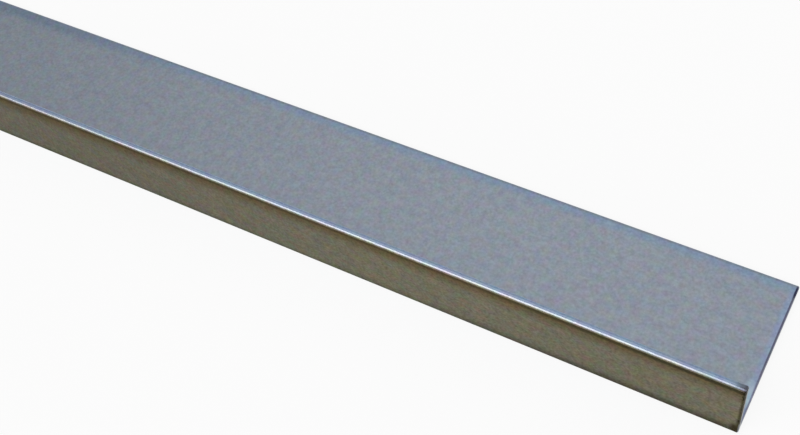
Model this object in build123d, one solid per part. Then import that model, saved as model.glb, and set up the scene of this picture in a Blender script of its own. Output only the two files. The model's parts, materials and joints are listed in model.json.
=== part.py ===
from build123d import *
import os

# An unequal-leg aluminium angle, extruded in one piece and sawn square to a stock length.
# All sizes are in millimetres. The angle lies on its broad leg: X runs along the length, Y runs
# across the broad leg from the standing narrow leg to the free edge, and Z is up. The origin is
# midway along the length and across the broad leg, on the surface that the angle lies on.

# Driving dimensions of the stock
STOCK_LENGTH = 1000.0
BROAD_LEG = 50.0
NARROW_LEG = 25.0
WALL = 2.0

# Roundings that the extrusion die leaves along the length
HEEL_RADIUS = 0.5
ROOT_RADIUS = 0.6
TOE_RADIUS = 0.8

# Edge taken off both sawn ends so that they don't cut the hand
END_BREAK = 0.3

LOWER_LEFT = (Align.MIN, Align.MIN)
MICROMETRE_DECIMALS = 3


def rounded(section, corners, radius):
    """Round the corners of the section that lie at the given (across, up) places."""
    chosen = []
    for vertex in section.vertices():
        place = (round(vertex.X, MICROMETRE_DECIMALS), round(vertex.Y, MICROMETRE_DECIMALS))
        if place in corners:
            chosen.append(vertex)
    return fillet(chosen, radius)


def angle_section():
    """The L of two plain walls with its heel at (0, 0), and its toes, heel and root rounded."""
    broad = Rectangle(BROAD_LEG, WALL, align=LOWER_LEFT)
    narrow = Rectangle(WALL, NARROW_LEG, align=LOWER_LEFT)
    section = broad + narrow
    toes = [(BROAD_LEG, 0), (BROAD_LEG, WALL), (0, NARROW_LEG), (WALL, NARROW_LEG)]
    section = rounded(section, toes, TOE_RADIUS)
    section = rounded(section, [(0, 0)], HEEL_RADIUS)
    return rounded(section, [(WALL, WALL)], ROOT_RADIUS)


def extruded(section):
    """The section drawn out along X, half the stock length to each side of the origin."""
    upright = Plane.YZ * Pos(-BROAD_LEG / 2, 0) * section
    return extrude(upright, STOCK_LENGTH / 2, both=True)


def end_broken(bar):
    """The bar with the outline of its two sawn ends lightly bevelled."""
    ends = bar.faces().filter_by(Axis.X)
    return chamfer([edge for end in ends for edge in end.edges()], END_BREAK)


def angle_profile():
    """The finished length of stock, as one solid."""
    bar = end_broken(extruded(angle_section()))
    bar.label = "angle_profile"
    return bar


profile = angle_profile()
os.makedirs("parts", exist_ok=True)
export_step(profile, "parts/angle_profile.step")
print("angle_profile", profile.bounding_box().size, "volume", round(profile.volume), "mm3")
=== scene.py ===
# %% [markdown]
# An aluminium angle, as a metal dealer sells it. The real object is one piece: a billet of soft
# aluminium is pushed hot through a steel die with an L-shaped slot, stretched straight, etched,
# anodised and sawn to length. It lies on its broad leg, and the narrow leg stands along the front.
# The shape is already right in the packed model, down to the roundings that the die leaves, so this
# lesson adds no mesh to it. It gives the metal its finish, and puts it under light that shows it.

# %% Load the packed model
import bmesh
import bpy
import json
import math
from mathutils import Matrix, Vector


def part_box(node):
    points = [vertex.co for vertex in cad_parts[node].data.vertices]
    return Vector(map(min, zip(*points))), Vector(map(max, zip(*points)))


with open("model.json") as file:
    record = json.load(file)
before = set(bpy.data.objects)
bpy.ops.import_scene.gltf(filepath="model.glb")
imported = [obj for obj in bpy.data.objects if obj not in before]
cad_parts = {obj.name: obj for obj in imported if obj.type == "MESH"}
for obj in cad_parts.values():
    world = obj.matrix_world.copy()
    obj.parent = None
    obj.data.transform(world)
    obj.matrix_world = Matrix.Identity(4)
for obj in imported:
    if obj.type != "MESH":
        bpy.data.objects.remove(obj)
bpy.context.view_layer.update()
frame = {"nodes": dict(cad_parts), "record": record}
profile = frame["nodes"]["angle_profile"]
print("loaded", profile.name, "with", len(profile.data.polygons), "faces")

# %% [markdown]
# Every size comes from the model itself. The numbers could be typed in, but then a longer or a wider
# angle would need them all again, and this way it is dressed as it comes. The box gives the length and
# both legs. The wall is the height of the broad leg's upper face, where the record has a mount. Blender
# counts in metres, and a finish is easier to think of in millimetres, so a length in millimetres is
# written as a number times MM.

# %% Read the sizes
MM = 0.001
low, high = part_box("angle_profile")
mount_places = {mount["name"]: mount["pos_m"] for mount in frame["record"]["mounts"]}
half_length = high.x
front_y = low.y
free_edge_y = high.y
narrow_leg = high.z
wall = mount_places["broad_leg_inner_face"][2]
near_corner = Vector((half_length, front_y, 0))
print("length", round(2 * half_length / MM), "broad leg", round((free_edge_y - front_y) / MM))
print("narrow leg", round(narrow_leg / MM), "wall", round(wall / MM, 2))

# %% [markdown]
# Paint and metal charts give a colour as it looks on a screen, in sRGB. Blender mixes light in
# linear values, so one function turns a hex colour into those. The curve between the two is a straight
# line up to a knee near black, and a power from there on.

# %% Turn a hex colour into linear values
SRGB_KNEE = 0.04045
SRGB_SLOPE = 12.92
SRGB_OFFSET = 0.055
SRGB_POWER = 2.4
FULL_CHANNEL = 255


def linear(hex_colour):
    """The linear red, green, blue and alpha of an sRGB colour such as "8C95A0"."""
    values = []
    for start in (0, 2, 4):
        channel = int(hex_colour[start:start + 2], 16) / FULL_CHANNEL
        if channel <= SRGB_KNEE:
            values.append(channel / SRGB_SLOPE)
        else:
            values.append(((channel + SRGB_OFFSET) / (1 + SRGB_OFFSET)) ** SRGB_POWER)
    return values + [1.0]


print("mid grey is", [round(c, 3) for c in linear("808080")])

# %% [markdown]
# A material here is a chain of nodes. It could be drawn by hand in the shader editor, but written down
# it can be read, changed and made again. One function adds a node, sets its values and links its inputs,
# so that each line of a material reads as one step. An input is called by its name, with _ for a space,
# or by _ and its number where a node has several of one name. A node hides the inputs that its settings
# don't use, and the function looks only at those that show.

# %% Add a node with its settings and links
def add_node(tree, kind, settings=(), **inputs):
    """A new node. Its settings are attributes, and an input is a value or another node's output."""
    node = tree.nodes.new(kind)
    for attribute, value in dict(settings).items():
        setattr(node, attribute, value)
    shown = [socket for socket in node.inputs if socket.enabled]
    for name, value in inputs.items():
        plain = name.strip("_").replace("_", " ")
        named = [socket for socket in shown if socket.name == plain]
        wanted = shown[int(plain)] if plain.isdigit() else named[0]
        if isinstance(value, bpy.types.NodeSocket):
            tree.links.new(value, wanted)
        else:
            wanted.default_value = value
    return node


def result(node):
    """The first output that the node shows."""
    return next(socket for socket in node.outputs if socket.enabled)


def new_material(name):
    """An empty node material, its tree, and its output node."""
    material = bpy.data.materials.new(name)
    material.use_nodes = True
    material.node_tree.nodes.clear()
    return material, material.node_tree, add_node(material.node_tree, "ShaderNodeOutputMaterial")


metal, metal_tree, metal_output = new_material("satin_anodised_aluminium")
print("started", metal.name)

# %% [markdown]
# The finish changes near the edges, so it is measured from them: in from the nearer sawn end, back
# from the front, in from the free edge of the broad leg, up from the floor, and down from the top of
# the narrow leg. Each distance is one coordinate of the object, counted in millimetres from its edge.
# A mask painted by hand could mark the edges too, but a distance stays sharp however near one looks.

# %% Measure from the edges
def measured_from(tree, start, direction, coordinate):
    """How many millimetres a coordinate lies past a place, counted up (1) or down (-1)."""
    distance = add_node(tree, "ShaderNodeMath", {"operation": "MULTIPLY_ADD"},
                        _0=coordinate, _1=direction / MM, _2=-direction * start / MM)
    return result(distance)


place = add_node(metal_tree, "ShaderNodeTexCoord").outputs["Object"]
axes = add_node(metal_tree, "ShaderNodeSeparateXYZ", Vector=place).outputs
from_middle = result(add_node(metal_tree, "ShaderNodeMath", {"operation": "ABSOLUTE"}, _0=axes["X"]))
from_end = measured_from(metal_tree, half_length, -1, from_middle)
from_front = measured_from(metal_tree, front_y, 1, axes["Y"])
from_free_edge = measured_from(metal_tree, free_edge_y, -1, axes["Y"])
from_floor = measured_from(metal_tree, 0, 1, axes["Z"])
from_top = measured_from(metal_tree, narrow_leg, -1, axes["Z"])
print("nodes so far", len(metal_tree.nodes))

# %% [markdown]
# A tint covers the part of the surface that lies past one or more limits. A limit is a distance with
# the millimetre where the tint begins to show and the one where it is full, and it eases in between,
# as wear and film thickness do. Each tint is laid over the colour before it, like a glaze.

# %% Lay a tint over a part of the surface
def cover(tree, *limits):
    """From 0 to 1: how far a point lies past every one of the limits."""
    covered = 1.0
    for distance, starts, full in limits:
        ramp = add_node(tree, "ShaderNodeMapRange", {"interpolation_type": "SMOOTHSTEP"},
                        Value=distance, From_Min=starts, From_Max=full)
        both = add_node(tree, "ShaderNodeMath", {"operation": "MULTIPLY"}, _0=covered, _1=result(ramp))
        covered = result(both)
    return covered


def tinted(tree, below, hex_colour, *limits):
    """The colour below, with another colour over the part that lies past the limits."""
    covered = cover(tree, *limits)
    mix = add_node(tree, "ShaderNodeMix", {"data_type": "RGBA"},
                   Factor=covered, A=below, B=linear(hex_colour))
    return result(mix)


print("a tint gives:", tinted.__doc__)

# %% [markdown]
# The metal is aluminium alloy with a satin, natural-colour anodised finish. After the press the bar
# is etched in caustic soda, which bites pits far too small to see and turns the mirror into a soft
# sheen. Then a current in sulphuric acid grows a film of clear, hard oxide, about a hundredth of a
# millimetre thick, which makes the metal a little darker and cooler than when it is bare. So it is a
# metal with a fairly high roughness and a pale blue-grey colour.

# %% Start from the colour of the film
FILM_COLOUR = "A3ACB9"
finish = linear(FILM_COLOUR)
print("film colour", [round(c, 3) for c in finish])

# %% [markdown]
# The toes are the rounded long edges of both legs. On the narrow leg a slate-blue line runs along the
# back of the toe. The outer corner, the arris, catches the lamp as a thin bright line. Its colour is
# also painted paler as a highlight, and a paler blue line along the crown is painted as the inner edge
# of that highlight. The arris is smoother too. The painted highlight is a little weaker in the last
# stretch before the end. The toe's own end is greyer.

# %% Tint the toe of the narrow leg and paint a highlight on its arris
SLATE_BLUE = "93A6C2"
HIGHLIGHT_SILVER = "B0B5BB"
FADED_HIGHLIGHT_SILVER = "A1A5AD"
HIGHLIGHT_EDGE_BLUE = "ABBCDA"
TOE_END_GREY = "727B88"
on_toe = (from_top, 0.9, 0.4)
toe_back = (from_front, 0.65, 1.1)
crown = [(from_front, 0.35, 0.6), (from_front, 1.15, 0.9)]
arris = [(from_top, 0.9, 0.65), (from_front, 1.1, 0.65)]
toe_end = [(from_top, 0.7, 0.5), (from_end, 4.5, 1.2)]
last_stretch = (from_end, 17, 11)
finish = tinted(metal_tree, finish, SLATE_BLUE, on_toe, toe_back)
# Painted highlight: the arris is painted paler.
finish = tinted(metal_tree, finish, HIGHLIGHT_SILVER, *arris)
# The painted highlight is weaker in the last stretch before the end.
finish = tinted(metal_tree, finish, FADED_HIGHLIGHT_SILVER, *arris, last_stretch)
# Painted highlight: a paler blue edge along the crown.
finish = tinted(metal_tree, finish, HIGHLIGHT_EDGE_BLUE, on_toe, *crown)
finish = tinted(metal_tree, finish, TOE_END_GREY, *toe_end)
print("toe tinted, nodes so far", len(metal_tree.nodes))

# %% [markdown]
# Part of the outer face's shading is painted into its colour. Under the arris it is painted warmer and
# duller, as a painted reflection of darker ground. This ends in a thin painted dark line, darkest near
# the ends of the bar. Along the foot it is painted cooler and darker, as a painted reflection of the
# shade at the floor, and greyer towards the ends. The last millimetre beside the cut is painted dark all
# the way up, as shade.

# %% Paint shade on the rim of the outer face
WARM_REFLECTION_GREY = "867E6E"
RIM_SHADE_GREY = "66635B"
RIM_END_SHADE_GREY = "4E5048"
FOOT_SHADE_GREY = "8796A0"
FOOT_END_SHADE_GREY = "6C727A"
CUT_SIDE_SHADE_GREY = "5A6055"
on_outer_face = (from_front, 0.3, 0.1)
below_arris = (from_top, 0.8, 1.1)
upper_third = (from_top, 8.8, 1.3)
rim = (from_top, 2.6, 1.6)
rim_near_end = [(from_top, 3, 2), (from_end, 110, 5)]
foot = (from_floor, 3.2, 0.6)
foot_near_end = [(from_floor, 5, 0.6), (from_end, 140, 10)]
beside_cut = (from_end, 1.2, 0.4)
# Painted reflection: warmer and duller under the arris.
finish = tinted(metal_tree, finish, WARM_REFLECTION_GREY, on_outer_face, below_arris, upper_third)
# Painted shade: a thin dark line under the arris, darkest near the ends.
finish = tinted(metal_tree, finish, RIM_SHADE_GREY, on_outer_face, below_arris, rim)
finish = tinted(metal_tree, finish, RIM_END_SHADE_GREY, on_outer_face, below_arris, *rim_near_end)
# Painted shade: cooler and darker along the foot, greyer near the ends.
finish = tinted(metal_tree, finish, FOOT_SHADE_GREY, on_outer_face, foot)
finish = tinted(metal_tree, finish, FOOT_END_SHADE_GREY, on_outer_face, *foot_near_end)
# Painted shade: dark beside the cut.
finish = tinted(metal_tree, finish, CUT_SIDE_SHADE_GREY, on_outer_face, below_arris, beside_cut)
print("outer face shaded, nodes so far", len(metal_tree.nodes))

# %% [markdown]
# A paler, bluer band runs along the end of the broad leg, over its last two millimetres, palest a
# little way from the upright leg. Closer to the upright leg the palest tint fades out, which paints the
# shade of that leg. Along the free edge runs a soft blue band. The band is darker in the middle
# of the bar, and the very edge is a thin greyer line.

# %% Tint the broad leg
PALE_END_BLUE = "9FB0CC"
PALE_END_WHITE = "B9D0E2"
SOFT_BLUE = "95A8C2"
DARK_BLUE = "8C9CB1"
EDGE_GREY = "8E9AAA"
wall_mm = wall / MM
on_broad_leg = (from_front, wall_mm, wall_mm + 0.2)
end_band = (from_end, 2.8, 1.2)
pale_patch_by_upright = [(from_end, 4, 2), (from_front, 17.5, 11), (from_front, 6, 9)]
free_band = (from_free_edge, 5, 1.6)
free_band_in_middle = [(from_free_edge, 7, 2.5), (from_end, 205, 290)]
very_edge = (from_free_edge, 1.4, 0.9)
finish = tinted(metal_tree, finish, PALE_END_BLUE, on_broad_leg, end_band)
# Painted shade: the pale patch stops short of the upright leg.
finish = tinted(metal_tree, finish, PALE_END_WHITE, on_broad_leg, *pale_patch_by_upright)
finish = tinted(metal_tree, finish, SOFT_BLUE, free_band)
finish = tinted(metal_tree, finish, DARK_BLUE, *free_band_in_middle)
finish = tinted(metal_tree, finish, EDGE_GREY, very_edge)
print("broad leg tinted, nodes so far", len(metal_tree.nodes))

# %% [markdown]
# The bar is sawn after it is anodised, and the edge of the cut is broken with a file. That narrow
# bevel is painted a violet grey as shade, and it is painted darker still in some places: on the broad
# leg away from the upright one, most of all by the far corner, on the upright leg's outer edge, and on
# the tip of the toe. A painted contact shadow darkens the bottom corner too.

# %% Paint shade on the edge of the cut
BEVEL_SHADE_GREY = "80869F"
BEVEL_SHADE_VIOLET = "66687C"
FAR_CORNER_SHADE = "3A3A55"
TOE_TIP_SHADE_GREY = "5C626B"
UPRIGHT_EDGE_SHADE_BROWN = "4A4C42"
BOTTOM_CORNER_SHADOW_BROWN = "46483F"
bevel = (from_end, 0.5, 0.3)
toe_tip = [(from_top, 1.2, 0.8), (from_end, 1.1, 0.5)]
broad_bevel = [(from_end, 0.72, 0.42), (from_end, 0.02, 0.16), (from_front, 7, 24)]
far_corner = [(from_end, 0.85, 0.45), (from_free_edge, 5.5, 3.5), (from_free_edge, 0.4, 1.4)]
upright_edge = [(from_front, 0.6, 0.35), (from_floor, 4, 6)]
bottom_corner = [(from_floor, 6.5, 3.2), (from_end, 2.9, 1.5), (from_end, 0.1, 0.4)]
# Painted shade along the edge of the cut, and a painted contact shadow on the bottom corner.
finish = tinted(metal_tree, finish, BEVEL_SHADE_GREY, bevel)
finish = tinted(metal_tree, finish, TOE_TIP_SHADE_GREY, *toe_tip)
finish = tinted(metal_tree, finish, BEVEL_SHADE_VIOLET, *broad_bevel)
finish = tinted(metal_tree, finish, FAR_CORNER_SHADE, *far_corner)
finish = tinted(metal_tree, finish, UPRIGHT_EDGE_SHADE_BROWN, bevel, *upright_edge, below_arris)
finish = tinted(metal_tree, finish, BOTTOM_CORNER_SHADOW_BROWN, on_outer_face, *bottom_corner)
print("bevel darkened, nodes so far", len(metal_tree.nodes))

# %% [markdown]
# The cut itself is bare metal, without the film, so it is greyer than the rest. On the upright leg it is
# painted darker still, as shade.

# %% Finish the cut
CUT_SILVER = "8A8E92"
UPRIGHT_CUT_SHADE_GREY = "6A6C70"
on_cut = (from_end, 0.03, 0.005)
upright_cut = (from_floor, wall_mm + 1, wall_mm + 2)
finish = tinted(metal_tree, finish, CUT_SILVER, on_cut)
# Painted shade: the upright leg's cut is darker.
finish = tinted(metal_tree, finish, UPRIGHT_CUT_SHADE_GREY, on_cut, upright_cut)
print("cut finished, nodes so far", len(metal_tree.nodes))

# %% [markdown]
# On the near end three small dark spots sit on the upright leg's outer edge. They stand out too little
# to be modelled, so they are colour alone. A spot is measured by the distance from its middle, and is
# given by its height above the floor and its radius, in millimetres. A fine noise stretches that
# distance more in one place than in another, so the spot has a ragged outline. It is solid in the core
# and thins out from there.

# %% Put dark spots on the outer edge
DARK_SPOT_COLOUR = "1F211B"
DARK_SPOTS = ((23.3, 1.65), (20.6, 1.25), (7.3, 1.35))
SPOT_CORE = 0.4
SPOT_NOISE_SIZE = 0.5 * MM
SPOT_NOISE_DETAIL = 1.0
NOISE_LOW = 0.3
NOISE_HIGH = 0.7
LEAST_STRETCH = 0.55
MOST_STRETCH = 1.55
spot_noise = add_node(metal_tree, "ShaderNodeTexNoise",
                  Vector=place, Scale=1 / SPOT_NOISE_SIZE, Detail=SPOT_NOISE_DETAIL)
stretch = add_node(metal_tree, "ShaderNodeMapRange", Value=result(spot_noise), From_Min=NOISE_LOW,
                   From_Max=NOISE_HIGH, To_Min=LEAST_STRETCH, To_Max=MOST_STRETCH)
for height, radius in DARK_SPOTS:
    middle = near_corner + Vector((0, 0, height * MM))
    away = add_node(metal_tree, "ShaderNodeVectorMath", {"operation": "DISTANCE"}, _0=place, _1=middle)
    ragged = add_node(metal_tree, "ShaderNodeMath", {"operation": "MULTIPLY"},
                      _0=away.outputs["Value"], _1=result(stretch))
    from_spot = measured_from(metal_tree, 0, 1, result(ragged))
    finish = tinted(metal_tree, finish, DARK_SPOT_COLOUR, (from_spot, radius, SPOT_CORE * radius))
print("dark spots", len(DARK_SPOTS), "and nodes so far", len(metal_tree.nodes))

# %% [markdown]
# Up close the satin isn't even. Each crystal of the metal takes the etch a little differently, and the
# eye sees a fine, faint mottle. The crystals are about a tenth of a millimetre across, which is finer
# than a pixel of the picture, so the mottle is drawn eight times coarser. A second and wider noise with
# a colour of its own gives the slight change of hue that a film of uneven thickness has. The outer face
# is the darker one in the picture, where so faint a mottle would be lost, so it is stronger there. A
# photograph of metal could be wrapped round the bar, but it has seams and repeats, and noise has neither.

# %% Mottle the satin
GRAIN_SIZE = 0.8 * MM
GRAIN_STRENGTH = 0.235
GRAIN_STRENGTH_OUTSIDE = 0.52
HUE_SIZE = 2.6 * MM
HUE_STRENGTH = 0.13
HUE_STRENGTH_OUTSIDE = 0.22
GRAIN_DETAIL = 1.0
HUE_DETAIL = 0.0
grain = add_node(metal_tree, "ShaderNodeTexNoise",
                 Vector=place, Scale=1 / GRAIN_SIZE, Detail=GRAIN_DETAIL)
hue = add_node(metal_tree, "ShaderNodeTexNoise", Vector=place, Scale=1 / HUE_SIZE, Detail=HUE_DETAIL)
outer_face = cover(metal_tree, on_outer_face)
for pattern, inside, outside in (
    (grain.outputs["Fac"], GRAIN_STRENGTH, GRAIN_STRENGTH_OUTSIDE),
    (hue.outputs["Color"], HUE_STRENGTH, HUE_STRENGTH_OUTSIDE),
):
    strength = add_node(metal_tree, "ShaderNodeMapRange", Value=outer_face, To_Min=inside, To_Max=outside)
    overlay = add_node(metal_tree, "ShaderNodeMix", {"data_type": "RGBA", "blend_type": "OVERLAY"},
                       Factor=result(strength), A=finish, B=pattern)
    finish = result(overlay)
print("grain", round(GRAIN_SIZE / MM, 2), "mm, hue", round(HUE_SIZE / MM, 2), "mm")

# %% [markdown]
# The die leaves faint lines along the whole bar, from scratches in its bearing. They are a few tenths
# of a millimetre apart and run for a hand's length before they fade, so the noise for them is
# stretched along the bar by a Mapping node. They change how rough the surface is and stand up by about
# two thousandths of a millimetre.

# %% Draw the die lines
LINE_LENGTH = 200 * MM
LINE_SPACING = 0.6 * MM
LINE_HEIGHT = 0.002 * MM
LINE_DETAIL = 1.0
stretched = add_node(metal_tree, "ShaderNodeMapping", Vector=place,
                     Scale=(1 / LINE_LENGTH, 1 / LINE_SPACING, 1 / LINE_SPACING))
die_lines = add_node(metal_tree, "ShaderNodeTexNoise",
                     Vector=result(stretched), Scale=1.0, Detail=LINE_DETAIL)
print("die lines", round(LINE_SPACING / MM, 2), "mm apart")

# %% [markdown]
# The saw blade leaves shallow arcs on the cut. In the mesh they would take thousands of faces for a
# relief of a hundredth of a millimetre, so they are bump. They are half a millimetre apart, and their
# centre is the blade's axle, which is above the free edge. A Mapping node moves that centre to where the
# rings of a Wave texture have theirs. At a scale of 1 the wave runs through 20 radians in a metre, and a
# ring is one full turn, so the scale for a spacing is a full turn over 20 spacings. A little distortion
# makes the arcs waver, as a blade does.

# %% Draw the saw marks
SAW_MARK_SPACING = 0.5 * MM
SAW_MARK_HEIGHT = 0.01 * MM
BLADE_RADIUS = 150 * MM
WAVE_RADIANS = 20
BLADE_WAVER = 1.0
from_axle = add_node(metal_tree, "ShaderNodeMapping", Vector=place,
                     Location=(0, -free_edge_y, -BLADE_RADIUS))
saw_marks = add_node(metal_tree, "ShaderNodeTexWave", {"wave_type": "RINGS", "rings_direction": "X"},
                     Vector=result(from_axle), Scale=math.tau / (WAVE_RADIANS * SAW_MARK_SPACING),
                     Distortion=BLADE_WAVER)
saw_relief = add_node(metal_tree, "ShaderNodeMath", {"operation": "MULTIPLY"},
                      _0=saw_marks.outputs["Fac"], _1=cover(metal_tree, on_cut))
print("saw marks", round(SAW_MARK_SPACING / MM, 2), "mm apart")

# %% [markdown]
# Roughness follows the same story: about 0.36 for the etched satin, a touch more or less with the die
# lines, and smoother on the arris, whose paler colour is a painted highlight. The metal keeps its
# default IOR, because the base colour already says how strongly a metal mirrors.

# %% Assemble the anodised aluminium
SATIN_ROUGHNESS = 0.36
ARRIS_ROUGHNESS = 0.33
LINE_ROUGHNESS = 0.05
satin = add_node(metal_tree, "ShaderNodeMapRange", Value=result(die_lines),
                 To_Min=SATIN_ROUGHNESS - LINE_ROUGHNESS, To_Max=SATIN_ROUGHNESS + LINE_ROUGHNESS)
roughness = add_node(metal_tree, "ShaderNodeMix", {"data_type": "FLOAT"},
                     Factor=cover(metal_tree, *arris), A=result(satin), B=ARRIS_ROUGHNESS)
line_bump = add_node(metal_tree, "ShaderNodeBump", Distance=LINE_HEIGHT, Height=result(die_lines))
saw_bump = add_node(metal_tree, "ShaderNodeBump", Distance=SAW_MARK_HEIGHT,
                    Height=result(saw_relief), Normal=result(line_bump))
metal_shader = add_node(metal_tree, "ShaderNodeBsdfPrincipled", Base_Color=finish, Metallic=1.0,
                        Roughness=result(roughness), Normal=result(saw_bump))
metal_tree.links.new(result(metal_shader), metal_output.inputs["Surface"])
profile.material_slots[0].material = metal
print("anodised aluminium has", len(metal_tree.nodes), "nodes")

# %% [markdown]
# The angle lies on white paper, which is matt and has no gloss. Paper under lamps looks pale grey in a
# picture, unless the lamps are so bright that they bleach the metal too. So the paper glows by itself,
# and only for rays that come from the camera or from a mirror or glass, which a Light Path node tells
# apart. The glow lights nothing. An eighth of what is seen is still the paper in its own light, and
# that part keeps a faint shadow beside the bar.

# %% Make the white paper
PAPER_COLOUR = "FAFAFA"
PAPER_ROUGHNESS = 0.9
PAPER_GLOW = 0.88
paper, paper_tree, paper_output = new_material("white_paper")
matt_paper = add_node(paper_tree, "ShaderNodeBsdfPrincipled",
                      Base_Color=linear(PAPER_COLOUR), Roughness=PAPER_ROUGHNESS)
white_glow = add_node(paper_tree, "ShaderNodeEmission", Color=linear("FFFFFF"), Strength=1.0)
rays = add_node(paper_tree, "ShaderNodeLightPath")
seen = rays.outputs["Is Camera Ray"]
for kind_of_ray in ("Is Glossy Ray", "Is Transmission Ray"):
    either = add_node(paper_tree, "ShaderNodeMath", {"operation": "MAXIMUM"},
                      _0=seen, _1=rays.outputs[kind_of_ray])
    seen = result(either)
glow_share = add_node(paper_tree, "ShaderNodeMath", {"operation": "MULTIPLY"}, _0=seen, _1=PAPER_GLOW)
paper_surface = add_node(paper_tree, "ShaderNodeMixShader",
                         _0=result(glow_share), _1=result(matt_paper), _2=result(white_glow))
paper_tree.links.new(result(paper_surface), paper_output.inputs["Surface"])
print("made", paper.name)

# %% [markdown]
# The floor is one wide sheet of that paper. It lies a hair below the angle, because two surfaces at
# one height would flicker into each other. A bmesh grid of one face makes it, and its size and place
# go into the mesh, so that the object itself stays at the origin.

# %% Lay the floor
FLOOR_SIZE = 40.0
FLOOR_DROP = 0.05 * MM
HALF_SIDE = 0.5


def stage_piece(name, shape, material):
    """A piece of the stage, which isn't part of the object, from a finished bmesh."""
    mesh = bpy.data.meshes.new(name)
    shape.to_mesh(mesh)
    shape.free()
    mesh.materials.append(material)
    piece = bpy.data.objects.new(name, mesh)
    bpy.context.scene.collection.objects.link(piece)
    return piece


def flat_sheet(size_x, size_y, middle):
    """A bmesh of one level face: a square metre, scaled to its sizes and moved to its middle."""
    sheet = bmesh.new()
    bmesh.ops.create_grid(sheet, x_segments=1, y_segments=1, size=HALF_SIDE)
    bmesh.ops.scale(sheet, vec=(size_x, size_y, 1), verts=sheet.verts)
    bmesh.ops.translate(sheet, vec=middle, verts=sheet.verts)
    return sheet


floor = stage_piece("floor", flat_sheet(FLOOR_SIZE, FLOOR_SIZE, (0, 0, -FLOOR_DROP)), paper)
print("floor", FLOOR_SIZE, "m square")

# %% [markdown]
# A camera that looks level would see the room over the edge of the floor, so a low wall of the same
# paper stands round it. A room as white as the paper would hide that edge too, but it would light the
# metal. Only the camera and mirrors see the wall, so it takes no light from the angle. It is the side of
# a wide cylinder, turned inside out so that its front is inside.

# %% Stand the paper wall round the floor
RING_HEIGHT = 6.0
RING_SIDES = 96
ring = bmesh.new()
bmesh.ops.create_cone(ring, cap_ends=False, segments=RING_SIDES, radius1=FLOOR_SIZE / 2,
                      radius2=FLOOR_SIZE / 2, depth=RING_HEIGHT)
bmesh.ops.translate(ring, vec=(0, 0, RING_HEIGHT / 2 - FLOOR_DROP), verts=ring.verts)
bmesh.ops.reverse_faces(ring, faces=ring.faces)
paper_wall = stage_piece("paper_wall", ring, paper)
paper_wall.visible_diffuse = False
paper_wall.visible_shadow = False
print("paper wall", RING_HEIGHT, "m high")

# %% [markdown]
# A bright metal has hardly any colour of its own: it shows what it mirrors. The outer face mirrors the
# floor right before it, and white paper there would make it as pale as the broad leg. A product
# photographer lays a card there. This one is unbleached board, which is tan and matt, and only mirrors
# can see it. It ends just past the bar, so that the cuts hardly mirror it, and it is a little lighter
# towards the near end.

# %% Lay the card that the outer face mirrors
TAN = "B3A27E"
LIGHT_TAN = "C7B58B"
CARD_PAST_END = 20 * MM
CARD_DEPTH = 0.6
CARD_ROUGHNESS = 0.9
card, card_tree, card_output = new_material("tan_card")
card_place = add_node(card_tree, "ShaderNodeTexCoord").outputs["Object"]
card_axes = add_node(card_tree, "ShaderNodeSeparateXYZ", Vector=card_place).outputs
from_near_end = measured_from(card_tree, half_length, -1, card_axes["X"])
near_part = (from_near_end, 260, 90)
card_colour = tinted(card_tree, linear(TAN), LIGHT_TAN, near_part)
card_shader = add_node(card_tree, "ShaderNodeBsdfPrincipled",
                       Base_Color=card_colour, Roughness=CARD_ROUGHNESS)
card_tree.links.new(result(card_shader), card_output.inputs["Surface"])
card_width = 2 * (half_length + CARD_PAST_END)
card_shape = flat_sheet(card_width, CARD_DEPTH, (0, front_y - CARD_DEPTH / 2, 0))
front_card = stage_piece("front_card", card_shape, card)
front_card.visible_camera = False
front_card.visible_diffuse = False
front_card.visible_shadow = False
print("card", round(card_width, 3), "by", CARD_DEPTH, "m")

# %% [markdown]
# The broad leg mirrors the room above and behind it. A perfectly even room would leave it as flat as
# paint, so the room has a soft window overhead, and the metal shades gently from end to end as it
# mirrors the window's middle or its edge. The dot product of the direction looked in and the direction
# of the window is the cosine of the angle between them, so the window is two angles: within the first
# the light is full, past the second it is the room's plain level, and it eases in between.

# %% Light the room
TOWARDS_WINDOW = (-0.2, 0.476, 0.856)
WINDOW_FULL = math.cos(math.radians(8))
WINDOW_ENDS = math.cos(math.radians(33))
ROOM_LEVEL = 0.47
WINDOW_LEVEL = 0.80
room = bpy.data.worlds.new("room")
bpy.context.scene.world = room
room.use_nodes = True
room_tree = room.node_tree
room_tree.nodes.clear()
looking = add_node(room_tree, "ShaderNodeTexCoord").outputs["Generated"]
nearness = add_node(room_tree, "ShaderNodeVectorMath", {"operation": "DOT_PRODUCT"},
                    _0=looking, _1=TOWARDS_WINDOW)
level = add_node(room_tree, "ShaderNodeMapRange", {"interpolation_type": "SMOOTHSTEP"},
                 Value=nearness.outputs["Value"], From_Min=WINDOW_ENDS, From_Max=WINDOW_FULL,
                 To_Min=ROOM_LEVEL, To_Max=WINDOW_LEVEL)
room_light = add_node(room_tree, "ShaderNodeBackground", Color=linear("FFFFFF"), Strength=result(level))
room_output = add_node(room_tree, "ShaderNodeOutputWorld")
room_tree.links.new(result(room_light), room_output.inputs["Surface"])
print("room from", ROOM_LEVEL, "to", WINDOW_LEVEL)

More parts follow.
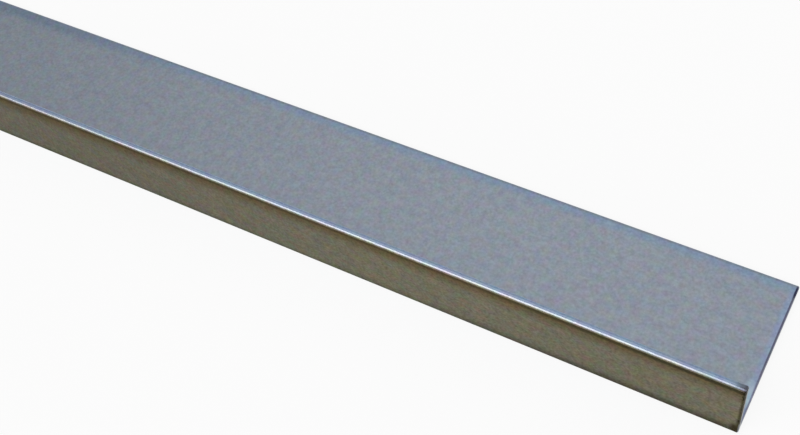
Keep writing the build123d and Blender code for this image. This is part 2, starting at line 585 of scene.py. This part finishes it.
# %% [markdown]
# One large soft light stands in front. The flat faces don't mirror it, and the rounded arris, which
# sweeps over everything from the ceiling to the floor, draws it as one thin bright line. An area lamp
# close by would light the near part of a metre of bar more than the far part. A sun lamp with a wide
# angle is as large and soft and has no distance, so bar and paper are lit evenly.

# %% Hang the soft light
LIGHT_FROM = Vector((-0.22, -0.76, 0.61))
LIGHT_ANGLE = math.radians(60)
LIGHT_STRENGTH = 1.4
soft_light = bpy.data.lights.new("soft_light", "SUN")
soft_light.angle = LIGHT_ANGLE
soft_light.energy = LIGHT_STRENGTH
lamp = bpy.data.objects.new("soft_light", soft_light)
lamp.rotation_euler = LIGHT_FROM.to_track_quat("Z", "Y").to_euler()
bpy.context.scene.collection.objects.link(lamp)
print("soft light stands", round(math.degrees(math.asin(LIGHT_FROM.normalized().z))), "degrees up")

# %% [markdown]
# The camera looks down on the angle from the front, from just past its right-hand end. It could be
# moved about until it looks right, but it is surer to fit it to the picture: its place, aim, roll and
# focal length are those that bring the model's edges and corners onto the ones in the picture. Its place
# and its aim are both counted from the bottom front corner of the near end.

# %% Set the camera
PICTURE_WIDTH = 800
FOCAL_PIXELS = 1218.6
SENSOR_WIDTH = 36.0
CAMERA_FROM_CORNER = Vector((22.67, -147.65, 312.52)) * MM
AIM_FROM_CORNER = Vector((-117.89, 23.84, 2.0)) * MM
CAMERA_ROLL = math.radians(-12.714)
NEAREST_SEEN = 10 * MM
lens = bpy.data.cameras.new("camera")
lens.sensor_width = SENSOR_WIDTH
lens.lens = FOCAL_PIXELS * SENSOR_WIDTH / PICTURE_WIDTH
lens.clip_start = NEAREST_SEEN
camera = bpy.data.objects.new("camera", lens)
camera.location = near_corner + CAMERA_FROM_CORNER
level_view = (AIM_FROM_CORNER - CAMERA_FROM_CORNER).to_track_quat("-Z", "Y").to_matrix()
camera.rotation_euler = (level_view @ Matrix.Rotation(CAMERA_ROLL, 3, "Z")).to_euler()
bpy.context.scene.collection.objects.link(camera)
bpy.context.scene.camera = camera
print("lens", round(lens.lens, 2), "mm")

# %% [markdown]
# The Standard view shows a colour as it is written.

# %% Finish
bpy.context.scene.view_settings.view_transform = "Standard"
